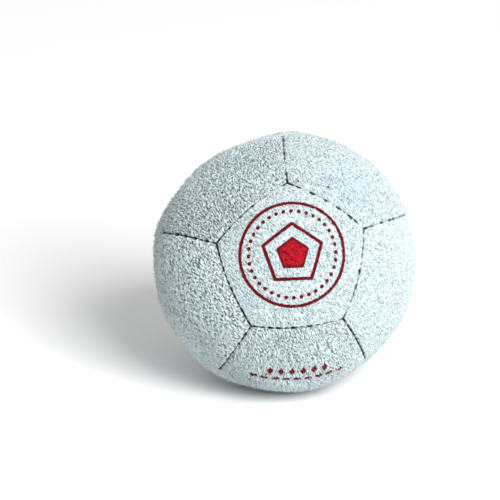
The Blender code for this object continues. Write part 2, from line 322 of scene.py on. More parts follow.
@dataclass
class Ball:
    """The whole ball's form, with its place and turn measured on the frame's panels."""

    crown: float = 0.5 * MM
    cap_inset: float = 1.2 * MM
    settle_whole_share: float = 0.8
    settle_end_share: float = 0.3
    granule_wave: float = 5.5 * MM
    granule_rise: float = 0.07 * MM
    granule_seed: int = 7
    slump_wave: float = 16 * MM
    slump_rise: float = 0.28 * MM
    slump_seed: int = 3
    swells: tuple[Swell, ...] = (
        Swell(134, 63, -1.4, 21),
        Swell(164, 38, -0.9, 16),
        Swell(82, 70, 0.5, 12),
        Swell(-21, -44, -0.9, 15),
        Swell(16, 37, 0.6, 22),
        Swell(175, 16, 0.6, 14),
        Swell(-168, -31, -0.5, 10),
        Swell(-104, -69, -0.7, 14),
    )
    pulls: tuple[CornerPull, ...] = (
        CornerPull(("front", "upper_left", "upper_right"), (0.02, -0.62, -0.39)),
        CornerPull(("front", "right", "upper_right"), (-0.66, -0.01, 0.81)),
        CornerPull(("front", "lower", "right"), (-0.05, -0.20, 1.03)),
        CornerPull(("front", "left", "lower"), (0.15, -0.14, 0.53)),
        CornerPull(("front", "upper_left", "left"), (0.21, -0.52, -0.62)),
        CornerPull(("upper_left", "upper_right", "back_upper"), (1.40, 0.07, 0.20)),
        CornerPull(("lower", "right", "back_lower_right"), (-0.58, -0.11, -0.31)),
        CornerPull(("upper_left", "left", "back_left"), (-0.14, -0.22, -0.61)),
    )
    centre: Array = field(init=False)
    turn: Array = field(init=False)
    radius: float = field(init=False)

    def __post_init__(self) -> None:
        """Measure the centre, turn and radius on the panels that the floor doesn't press."""
        free = [name for name in NAMES if not self.is_pressed(name)]
        meshes = [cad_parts[f"panel_{name}"].data for name in free]
        points = [np.array([corner.co for corner in mesh.vertices]) for mesh in meshes]
        middles = np.array([corners.mean(axis=0) for corners in points])
        facings = np.array([FACINGS[name] for name in free])
        self.centre = middles.mean(axis=0)
        first, _, last = np.linalg.svd((middles - self.centre).T @ facings)
        self.turn = first @ last
        self.radius = max(np.linalg.norm(corners - self.centre, axis=1).max() for corners in points)

    @staticmethod
    def is_pressed(name: str) -> bool:
        """Whether a panel, or the one opposite it, rests on the floor."""
        opposite = min(FACINGS, key=lambda other: FACINGS[other] @ FACINGS[name])
        return any(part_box(f"panel_{panel}")[0].z < MM for panel in (name, opposite))

    @property
    def edge_radius(self) -> float:
        """How far the panels' sewn edges lie from the ball's middle."""
        return self.radius - self.crown

    def to_row(self, points: Array) -> Array:
        """Move points of the canonical ball to their place in the row frame, as the sewing drew them.

        Args:
            points: places on or in the canonical ball.

        Returns:
            Their places in the row frame.
        """
        lengths = np.linalg.norm(points, axis=1, keepdims=True)
        headings = points / np.maximum(lengths, MM)
        drawn = sum(pull.at(headings) for pull in self.pulls) * np.minimum(1, lengths / self.radius)
        return points @ self.turn.T + drawn + self.centre

    def outer_radius(self, headings: Array) -> Array:
        """The cover's radius, without its seams, its nap and the filling's dents.

        Args:
            headings: headings of the canonical ball.

        Returns:
            The radius along each.
        """
        nearness = np.sort(headings @ ALL_FACINGS.T, axis=1)
        inward = (nearness[:, -1] - nearness[:, -2]) / (1 - cos(NEIGHBOUR_TILT))
        edge = self.cap_inset / (self.edge_radius * sin(NEIGHBOUR_TILT / 2))
        rounded = np.clip((inward - edge) / (1 - edge), 0, 1)
        return self.radius - self.crown * (1 - rounded) ** 2

    def unevenness(self, headings: Array) -> Array:
        """How far the loose filling lifts or dents the cover.

        Args:
            headings: headings of the canonical ball.

        Returns:
            The lift along each.
        """
        rise = sum(swell.at(headings @ self.turn.T) for swell in self.swells)
        cover = headings * self.radius
        rise = rise + self.slump_rise * noise(cover / self.slump_wave, self.slump_seed)
        return rise + self.granule_rise * noise(cover / self.granule_wave, self.granule_seed)

    def settled(self, points: Array) -> Array:
        """Flatten the underside where it rests on the floor.

        Args:
            points: places in the row frame.

        Returns:
            The places, lifted by what their heading's outer point would sink below the floor. None is left
            below it.
        """
        offsets = points - self.centre
        lengths = np.linalg.norm(offsets, axis=1)
        headings = offsets / np.maximum(lengths, MM)[:, None]
        radii = self.outer_radius(headings @ self.turn)
        lift = np.maximum(0, -headings[:, 2] * np.maximum(radii, lengths) - self.centre[2])
        span = self.settle_whole_share - self.settle_end_share
        placed = points.copy()
        placed[:, 2] += lift * np.clip((lengths / radii - self.settle_end_share) / span, 0, 1)
        placed[:, 2] = np.maximum(placed[:, 2], 0)
        return placed


@dataclass(frozen=True)
class SeamLook:
    """How a seam's lips part, in hundredths of a millimetre.

    The gap is how far they part all along it. Each pull is how much farther they part at one stitch, for half
    a length on either side of it.
    """

    gap: float
    half_length: float
    pulls: tuple[float, ...]


# The seams that show, with their stitches counted anticlockwise round their first panel
SEAM_LOOKS = {
    ("front", "upper_left"): SeamLook(29, 80, (20, 0, 5, 10, 5, 20, 10, 20, 5, 25, 15, 30)),
    ("front", "left"): SeamLook(36, 80, (45, 25, 15, 45, 15, 30, 55, 40, 20, 45, 35, 45)),
    ("front", "lower"): SeamLook(22, 90, (35, 25, 70, 80, 20, 75, 25, 75, 25, 22, 20, 15)),
    ("front", "right"): SeamLook(23, 80, (25, 15, 30, 20, 75, 20, 85, 15, 25, 20, 20, 20)),
    ("front", "upper_right"): SeamLook(19, 100, (0, 60, 75, 15, 60, 5, 55, 15, 95, 5, 45, 60)),
    ("upper_left", "left"): SeamLook(17, 100, (60, 60, 90, 40, 100, 30, 95, 25, 80, 25, 60, 30)),
    ("left", "lower"): SeamLook(29, 70, (50, 30, 50, 20, 45, 20, 45, 15, 40, 15, 35, 20)),
    ("lower", "right"): SeamLook(26, 90, (60, 100, 50, 100, 40, 45, 40, 45, 30, 45, 30, 30)),
    ("right", "upper_right"): SeamLook(8, 100, (90, 110, 50, 110, 40, 90, 85, 20, 75, 15, 50, 50)),
    ("upper_left", "upper_right"): SeamLook(12, 100, (50, 55, 10, 20, 30, 60, 30, 100, 40, 110, 50, 100)),
    ("left", "back_lower_left"): SeamLook(38, 80, (20, 30) * 6),
    ("lower", "back_lower_left"): SeamLook(40, 80, (10, 20, 10, 30, 10, 25, 10, 30, 10, 20, 10, 20)),
}


@dataclass
class Seam:
    """One seam between two panels, with the places of its stitches."""

    first: str
    second: str
    ball: Ball
    stitches: int = 12
    dimple_depth: float = 0.10 * MM
    dimple_width: float = 1.3 * MM
    lip_reach: float = 0.9 * MM
    mouth_depth: float = 1.5 * MM
    corner_pit: float = 0.22 * MM
    corner_width: float = 0.8 * MM
    ragged_share: float = 0.45
    ragged_per_stitch: float = 0.9
    ragged_spacing: float = 9
    ragged_seed: int = 11
    plain_gap: Span = (5, 30)
    plain_half_length: Span = (60, 100)
    plain_pulls: Span = (15, 70)
    plain_strength: Span = (0.5, 1.3)
    look: SeamLook = field(init=False)
    middle: Array = field(init=False)
    along: Array = field(init=False)
    normal: Array = field(init=False)

    def __post_init__(self) -> None:
        """Place the seam, and choose its look: its own, or plain stitches that show every other time."""
        one, other = FACINGS[self.first], FACINGS[self.second]
        self.middle, self.normal = unit(one + other), unit(other - one)
        self.along = np.cross(self.middle, self.normal)
        chance = np.random.default_rng(NAMES.index(self.first) * len(NAMES) + NAMES.index(self.second))
        strength = chance.uniform(*self.plain_strength, self.stitches)
        pulls = np.array(self.plain_pulls)[np.arange(self.stitches) % 2] * strength
        gap, half_length = chance.uniform(*self.plain_gap), chance.uniform(*self.plain_half_length)
        plain = SeamLook(gap, half_length, tuple(pulls))
        self.look = SEAM_LOOKS.get((self.first, self.second), plain)

    @property
    def pitch(self) -> float:
        """The distance between stitches."""
        return SEAM_SPAN * self.ball.edge_radius / self.stitches

    def share_along(self, headings: Array) -> Array:
        """Where headings lie along the seam, from 0 at its start to 1 at its end."""
        return np.arctan2(headings @ self.along, headings @ self.middle) / SEAM_SPAN + 1 / 2

    def heading(self, share: Array) -> Array:
        """The headings in the seam's plane at shares of its length."""
        angle = (share[:, None] - 1 / 2) * SEAM_SPAN
        return np.cos(angle) * self.middle + np.sin(angle) * self.along

    def parting(self, share: Array) -> tuple[Array, Array]:
        """How the seam lies open along its length.

        Args:
            share: places along the seam.

        Returns:
            Half the distance between the lips, and the closeness to a stitch, from 0 to 1.
        """
        place = share * self.stitches
        stitch = np.clip(np.floor(place), 0, self.stitches - 1).astype(int)
        off = (place - stitch - 1 / 2) * self.pitch
        inside = (share > 0) & (share < 1)
        row = (0, self.middle[0] * self.ragged_spacing, 0)
        points = np.outer(place, (self.ragged_per_stitch, 0, 0)) + row
        ragged = self.look.gap * (1 + self.ragged_share * noise(points, self.ragged_seed))
        dash = np.array(self.look.pulls)[stitch] * bell(off, self.look.half_length * HUNDREDTH_MM) * inside
        to_corner = (0.5 - np.abs(share - 0.5)) * self.pitch * self.stitches
        pit = self.corner_pit * bell(to_corner, self.corner_width)
        return ((ragged + dash) * HUNDREDTH_MM + pit) / 2, bell(off, self.dimple_width) * inside


def all_seams(ball: Ball) -> list[Seam]:
    """The thirty seams, each between two panels that lie next to each other."""
    pairs = [(first, second) for place, first in enumerate(NAMES) for second in NAMES[place + 1:]]
    return [Seam(first, second, ball) for first, second in pairs if FACINGS[first] @ FACINGS[second] > 0]


@dataclass(frozen=True)
class PrintMark:
    """A plain printed ornament on a panel.

    Right and up say how far its middle lies from the panel's, along the cover. Up is towards the crest.
    """

    right: float
    up: float

    def distance(self, across: Array, upward: Array) -> Array:
        """How far places lie outside the inked shapes, below zero inside them."""
        raise NotImplementedError


@dataclass(frozen=True)
class Rosette(PrintMark):
    """A ring of ink with a circle of dots inside it, round a pentagon with a thick outline."""

    ring_radius: float = 17.6 * MM
    line: float = 1.15 * MM
    dots: int = 36
    dot_circle: float = 14.6 * MM
    dot_radius: float = 0.68 * MM
    outline_apothem: float = 8.2 * MM
    heart_apothem: float = 4.6 * MM

    def distance(self, across: Array, upward: Array) -> Array:
        """The distance to the nearest of the ring, the dots, the pentagon's outline and its solid heart.

        Args:
            across: how far right of the print's middle each place lies.
            upward: how far above it.

        Returns:
            The distance outside the ink, below zero inside it.
        """
        reach, angle = np.hypot(across, upward), np.arctan2(upward, across)
        ring = np.abs(reach - self.ring_radius) - self.line / 2
        off = angle - np.round(angle * self.dots / tau) * tau / self.dots
        dot = np.hypot(reach * np.cos(off) - self.dot_circle, reach * np.sin(off)) - self.dot_radius
        to_side = (np.stack([across, upward], axis=1) @ circle(SIDES, -SIDES / 4).T).max(axis=1)
        outline = np.abs(to_side - self.outline_apothem) - self.line / 2
        return np.minimum.reduce([ring, dot, outline, to_side - self.heart_apothem])


@dataclass(frozen=True)
class DiamondRow(PrintMark):
    """A row of ink diamonds over a row of short bars."""

    diamonds: int = 6
    bars: int = 9
    pitch: float = 3.6 * MM
    half_width: float = 1.15 * MM
    half_height: float = 2.1 * MM
    bar_half_length: float = 0.55 * MM
    bar_line: float = 1.5 * MM
    bar_drop: float = 4.4 * MM

    def beside(self, across: Array, count: int) -> Array:
        """How far places lie across from the nearest of a row of marks."""
        from_first = across + (count - 1) / 2 * self.pitch
        return np.abs(from_first - np.clip(np.round(from_first / self.pitch), 0, count - 1) * self.pitch)

    def distance(self, across: Array, upward: Array) -> Array:
        """The distance to the nearer of the diamonds and the bars.

        Args:
            across: how far right of the print's middle each place lies.
            upward: how far above it.

        Returns:
            The distance outside the ink, below zero inside it.
        """
        outside = self.beside(across, self.diamonds) / self.half_width + np.abs(upward) / self.half_height - 1
        beyond = np.maximum(self.beside(across, self.bars) - self.bar_half_length, 0)
        bar = np.hypot(beyond, upward + self.bar_drop) - self.bar_line / 2
        return np.minimum(outside * self.half_width, bar)


PRINTS = {
    "front": Rosette(right=-0.6 * MM, up=2.0 * MM),
    "lower": DiamondRow(right=0, up=5.2 * MM),
}

# Where specks of ink landed while the panels were printed, as headings of the canonical ball
SPECK_RADIUS = 0.42 * MM
SPECKS = {
    "upper_left": ((-0.488, 0.551, 0.677),),
    "upper_right": ((0.194, 0.897, 0.398), (0.081, 0.608, 0.790), (0.312, 0.540, 0.782)),
    "left": ((-0.981, 0.035, 0.193), (-0.812, -0.240, 0.532)),
}


@dataclass(frozen=True)
class SoftPatch:
    """A soft patch on the suede at a heading of the canonical ball, with a spread in degrees."""

    heading: Place
    strength: float = 1
    spread: float = 11

    def at(self, headings: Array) -> Array:
        """How strongly it shows at headings of the canonical ball."""
        return self.strength * spot(headings, unit(np.array(self.heading)), self.spread)


# Where a stray dye left its tint
STAIN = SoftPatch((0.50, 0.52, 0.66), spread=12)

# Soft patches of painted light and shade, which make the suede paler or darker by this share
PAINTED_LIGHT_AND_SHADE = (
    SoftPatch((-0.70, 0.66, 0.29), 0.15, 10),
    SoftPatch((-0.28, 0.91, 0.31), 0.10, 9),
    SoftPatch((-0.43, 0.42, 0.80), -0.15, 13),
    SoftPatch((-0.06, -0.63, 0.77), -0.05),
    SoftPatch((-0.80, -0.55, 0.24), 0.16, 12),
    SoftPatch((-0.06, -0.95, 0.30), 0.15, 13),
    SoftPatch((0.49, -0.80, 0.34), 0.11, 9),
    SoftPatch((-0.19, 0.81, 0.55), -0.10, 12),
    SoftPatch((-0.73, -0.53, 0.44), -0.10, 9),
    SoftPatch((0.20, -0.74, 0.64), 0.06, 9),
)


@dataclass(frozen=True)
class PanelLook:
    """What sets one panel's suede apart: nap turn in degrees, relief (also of its painted gap shade), tone
    with painted light, stain.
    """

    nap_turn: float = 0
    relief: float = 1
    tone: float = 0
    stain: float = 0


# Each panel's tone is partly its own and partly painted light and shade
PANEL_LOOKS = {
    "front": PanelLook(-8, 0.75, 0.03),
    "upper_left": PanelLook(-13, 1.55),
    "left": PanelLook(8, 1.7, 0.02),
    "lower": PanelLook(-42, 1.35, -0.01),
    "right": PanelLook(27, 0.75, 0.04),
    "upper_right": PanelLook(-32, 0.9, -0.01, stain=0.35),
    "back_lower_left": PanelLook(-10, tone=0.14),
}


def ring_start(ring: int) -> int:
    """The number of the first corner of a ring, where ring r has 5 r corners round the one in the middle."""
    return 1 + SIDES * ring * (ring - 1) // 2


def pentagon_triangles(rings: int) -> Array:
    """Face a pentagon of evenly spaced rings.

    Args:
        rings: how many rings it has round its middle corner.

    Returns:
        The faces, anticlockwise.
    """
    faces = []
    for ring in range(1, rings + 1):
        inner, outer = ring_start(ring - 1) if ring > 1 else 0, ring_start(ring)
        inner_count, outer_count = max(1, SIDES * (ring - 1)), SIDES * ring
        for side in range(SIDES):
            steps = np.arange(ring)
            near = inner + (side * (ring - 1) + steps) % inner_count
            far = outer + (side * ring + steps) % outer_count
            far_next = outer + (side * ring + steps + 1) % outer_count
            faces.append(np.stack([near, far, far_next], axis=1))
            near_next = inner + (side * (ring - 1) + steps[1:]) % inner_count
            faces.append(np.stack([near[:-1], far_next[:-1], near_next], axis=1))
    return np.concatenate(faces)


def band_triangles(inner: int, outer: int, count: int) -> Array:
    """Face the band between two closed rings of equally many corners.

    Args:
        inner: the number of the first corner of one ring.
        outer: the number of the first corner of the other.
        count: how many corners each ring has.

    Returns:
        The faces, anticlockwise.
    """
    steps = np.arange(count)
    after = (steps + 1) % count
    halves = ((inner + steps, outer + steps, outer + after), (inner + steps, outer + after, inner + after))
    return np.concatenate([np.stack(half, axis=1) for half in halves])


def ring_places(rings: int) -> tuple[Array, Array, Array]:
    """Place the corners of a pentagon of rings.

    Args:
        rings: how many rings it has.

    Returns:
        The side, the share along it and the reach from the middle of every corner.
    """
    sides, shares, reaches = [np.zeros(1, int)], [np.zeros(1)], [np.zeros(1)]
    for ring in range(1, rings + 1):
        sides.append(np.repeat(np.arange(SIDES), ring))
        shares.append(np.tile(np.arange(ring) / ring, SIDES))
        reaches.append(np.full(SIDES * ring, ring / rings))
    return np.concatenate(sides), np.concatenate(shares), np.concatenate(reaches)


def part_way(start: Array, end: Array, share: Array) -> Array:
    """The headings at a share of the way from one heading to another, for each row."""
    angle = np.arccos(np.clip((start * end).sum(axis=1), -1, 1))[:, None]
    return (np.sin((1 - share) * angle) * start + np.sin(share * angle) * end) / np.sin(angle)


def row_points(sides: Array, shares: Array, inset: float, radius: float) -> Array:
    """Points of the lines that run along a panel's sides, a distance inside the seam planes.

    Args:
        sides: the side that each point belongs to.
        shares: how far along its side each lies.
        inset: the distance inside the seam plane.
        radius: the distance from the ball's middle.

    Returns:
        The points, for a panel that faces +Z with a corner at +Y.
    """
    before = np.roll(SEAM_NORMALS, 1, axis=0)
    inward = (before + SEAM_NORMALS) / (1 + (before * SEAM_NORMALS).sum(axis=1, keepdims=True)) * inset
    corners = CORNERS * np.sqrt(radius ** 2 - (inward ** 2).sum(axis=1, keepdims=True)) - inward
    across = SEAM_NORMALS[sides] * inset
    start, end = corners[sides] + across, corners[(sides + 1) % SIDES] + across
    length = np.linalg.norm(start, axis=1, keepdims=True)
    return part_way(unit(start), unit(end), shares[:, None]) * length - across


def face_headings(rings: int, inset: float, radius: float) -> Array:
    """Spread a pentagon of rings over a panel.

    Args:
        rings: how many rings it has.
        inset: how far inside the seam planes its outermost ring lies.
        radius: how far from the ball's middle that ring lies.

    Returns:
        The heading of every corner, for a panel that faces +Z.
    """
    sides, shares, reaches = ring_places(rings)
    edge = unit(row_points(sides, shares, inset, radius))
    return part_way(FACINGS["front"], edge, reaches[:, None])


def panel_rotation(facing: Array) -> Array:
    """Find the turn that takes a panel facing +Z, with a corner at +Y, to its place on the canonical ball.

    Args:
        facing: the way the panel faces there.

    Returns:
        The turn as a matrix.
    """
    around = [other for other in ALL_FACINGS if 0 < other @ facing < SAME_COSINE]
    corners = [facing + one + other for one in around for other in around if 0 < one @ other < SAME_COSINE]
    corner = max(corners, key=lambda place: place @ CORNER_CHOICE)
    up = unit(corner - facing * (facing @ corner))
    return np.stack([np.cross(up, facing), up, facing], axis=1)


@dataclass(frozen=True)
class Grain:
    """Noise drawn out along the nap, with the length and width of its features in millimetres."""

    length_mm: float
    width_mm: float
    detail: float
    twist: float = 0

    def add_to(self, add: AddNode, place: Socket) -> Socket:
        """Add the noise to a material.

        Args:
            add: what adds nodes to the material.
            place: the place on the nap in millimetres, with the nap along X.

        Returns:
            The noise, from 0 to 1.
        """
        scales = (1 / self.length_mm, 1 / self.width_mm, 1 / self.width_mm)
        drawn = add("VectorMath", {"operation": "MULTIPLY", 1: scales}, {0: place})
        settings = {"Scale": 1.0, "Detail": self.detail, "Roughness": 0.55, "Distortion": self.twist}
        return add("TexNoise", settings, {"Vector": drawn}, "Fac")


@dataclass(frozen=True)
class SuedeFinish:
    """Split suede, drum-dyed and brushed.

    Its nap of short fibre bundles gives the eye pale, matt strokes, with tips and gaps partly dyed and partly
    painted light and shade.
    Real fibres would be too fine to show, so they are drawn several times as coarse. Roughness and sheen each
    have two values: the bare nap's, then that of inked nap and, for sheen, of the fold.
    """

    name: str = "suede_split_brushed"
    pale: str = "#e2edef"
    body: str = "#c9d5d8"
    # The gaps' deep colour: partly darker dye, partly painted shade
    deep: str = "#7a888f"
    # Painted shade for the inside of the seams' folds
    fold: str = "#12181c"
    stain: str = "#bfe3ec"
    ink: str = "#bd1226"
    # The ink's deep colour, at its beaded edge and, as painted shade, in the nap's gaps
    ink_edge_and_gap_shade: str = "#5c0310"
    bloom: str = "#f2fafb"
    bundles: Grain = Grain(0.9, 0.30, detail=1.5, twist=0.35)
    fibres: Grain = Grain(0.45, 0.22, detail=1.0, twist=0.2)
    blotches: Grain = Grain(9.0, 7.0, detail=2.0)
    blotch_strength: float = 0.15
    fibre_share: float = 0.35
    pile_share: float = 0.30
    gap_shade_range: Span = (0.34, 0.49)
    tip_range: Span = (0.50, 0.66)
    ink_bleed_mm: float = 0.07
    ink_raggedness_mm: float = 0.9
    ink_bead_mm: Span = (-0.45, -1.10)
    ink_edge_level: float = 0.15
    bump_mm: float = 0.10
    roughness: Span = (0.95, 0.72)
    sheen: Span = (0.60, 0.10)

    def material(self) -> bpy.types.Material:
        """Build the suede's nodes, which read the marks that the panels and their nap carry.

        Returns:
            The material.
        """
        material = bpy.data.materials.new(self.name)
        add = cleared(material)
        names = ("pile", "fold", "ink_mm", "stain", "tone")
        marks = (add("Attribute", {"attribute_name": name}, output="Fac") for name in names)
        pile, fold, ink_mm, stain, tone = marks
        place = add("Attribute", {"attribute_name": "nap_place"}, output="Vector")

        # Bundles of fibre lie along the nap, with finer fibre over them
        grains = (self.bundles, self.fibres, self.blotches)
        bundles, fibres, blotches = (grain.add_to(add, place) for grain in grains)
        height = add("Mix", {0: self.fibre_share}, {2: bundles, 3: fibres})
        raised = add("Math", {"operation": "MULTIPLY_ADD", 1: self.pile_share}, {0: pile, 2: height})

        # The nap's pale tips and the deeper colour of the gaps between the bundles are partly dye and partly
        # painted light and shade
        shade = add("MapRange", dict(zip(FROM, self.gap_shade_range)), {"Value": raised})
        tips = add("MapRange", dict(zip(FROM, self.tip_range)), {"Value": raised})
        swing = dict(zip(TO, (-self.blotch_strength, self.blotch_strength)))
        patchy = add("MapRange", {"clamp": False} | swing, {"Value": blotches})
        lifted = add("Math", {"operation": "ADD", "use_clamp": True}, {0: tips, 1: patchy})
        dyed = add("Mix", BLEND | {6: linear(self.deep), 7: linear(self.body)}, {0: shade}, BLENDED)
        brushed = add("Mix", BLEND | {7: linear(self.pale)}, {0: lifted, 6: dyed}, BLENDED)
        # The tone scales the colour: partly each panel's own tone, partly painted light and shade
        level = add("Math", {"operation": "ADD", 1: 1.0}, {0: tone})
        toned = add("VectorMath", {"operation": "SCALE"}, {0: brushed, "Scale": level})
        soaked = add("Math", {"operation": "MULTIPLY"}, {0: stain, 1: shade})
        stained = add("Mix", BLEND | {7: linear(self.stain)}, {0: soaked, 6: toned}, BLENDED)

        # Screen ink sits on the nap's tips, so its edge is ragged and dark, and deep gaps stay darker with
        # painted shade
        ragged = {"operation": "MULTIPLY_ADD", 1: -self.ink_raggedness_mm}
        edge = add("Math", ragged, {0: height, 2: ink_mm})
        middle = -self.ink_raggedness_mm / 2
        across = dict(zip(FROM, (middle + self.ink_bleed_mm, middle - self.ink_bleed_mm)))
        inked = add("MapRange", across, {"Value": edge})
        bead = dict(zip((*FROM, *TO), (*self.ink_bead_mm, self.ink_edge_level, 1.0)))
        spread = add("MapRange", bead, {"Value": ink_mm})
        bright = add("Math", {"operation": "MULTIPLY"}, {0: shade, 1: spread})
        ink = add("Mix", BLEND | {6: linear(self.ink_edge_and_gap_shade), 7: linear(self.ink)}, {0: bright}, BLENDED)
        printed = add("Mix", BLEND, {0: inked, 6: stained, 7: ink}, BLENDED)

        # The fold between two panels gets painted shade, and neither it nor the ink has the nap's pale sheen
        colour = add("Mix", BLEND | {7: linear(self.fold)}, {0: fold, 6: printed}, BLENDED)
        bump = add("Bump", {"Strength": 1.0, "Distance": self.bump_mm * MM}, {"Height": height})
        roughness = add("MapRange", dict(zip(TO, self.roughness)), {"Value": inked})
        matted = add("Math", {"operation": "MAXIMUM"}, {0: inked, 1: fold})
        sheen = add("MapRange", dict(zip(TO, self.sheen)), {"Value": matted})
        settings = {
            "IOR": 1.45,
            "Diffuse Roughness": 0.6,
            "Specular IOR Level": 0.12,
            "Sheen Roughness": 0.45,
            "Sheen Tint": linear(self.bloom),
        }
        links = {"Base Color": colour, "Roughness": roughness, "Sheen Weight": sheen, "Normal": bump}
        add("OutputMaterial", links={"Surface": add("BsdfPrincipled", settings, links)})
        return material


@dataclass(frozen=True)
class MottledFinish:
    """A smooth finish whose colour and gloss vary from place to place, each between two values.

    The second value shows where fine noise is strong. A mark, where one is named, keeps it to parts of the
    piece.
    """

    name: str
    colours: tuple[str, str]
    roughness: Span
    ior: float
    patch_mm: float
    detail: float
    mark: str = ""

    def material(self) -> bpy.types.Material:
        """Build the finish's nodes.

        Returns:
            The material.
        """
        material = bpy.data.materials.new(self.name)
        add = cleared(material)
        place = add("NewGeometry", output="Position")
        grain = {"Scale": 1 / (self.patch_mm * MM), "Detail": self.detail}
        share = add("TexNoise", grain, {"Vector": place}, "Fac")
        if self.mark:
            mark = add("Attribute", {"attribute_name": self.mark}, output="Fac")
            share = add("Math", {"operation": "MULTIPLY", "use_clamp": True}, {0: mark, 1: share})
        colours = dict(zip((6, 7), map(linear, self.colours)))
        colour = add("Mix", BLEND | colours, {0: share}, BLENDED)
        roughness = add("MapRange", dict(zip(TO, self.roughness)), {"Value": share})
        shader = add("BsdfPrincipled", {"IOR": self.ior}, {"Base Color": colour, "Roughness": roughness})
        add("OutputMaterial", links={"Surface": shader})
        return material


# Waxed polyester thread, plied: nearly black, with a low gloss where the wax lies on top of each ply
WAXED_THREAD = MottledFinish(
    name="polyester_waxed_plied",
    colours=("#0d1114", "#1c2429"),
    roughness=(0.75, 0.45),
    ior=1.5,
    patch_mm=0.25,
    detail=2.0,
    mark="ply",
)

# Polyethylene, cut as pellets: milky and waxy, with a soft gloss that dust dulls in patches
PELLET_PLASTIC = MottledFinish(
    name="polyethylene_pellets",
    colours=("#e6e5de", "#cfcdc2"),
    roughness=(0.35, 0.6),
    ior=1.51,
    patch_mm=2.5,
    detail=3.0,
)


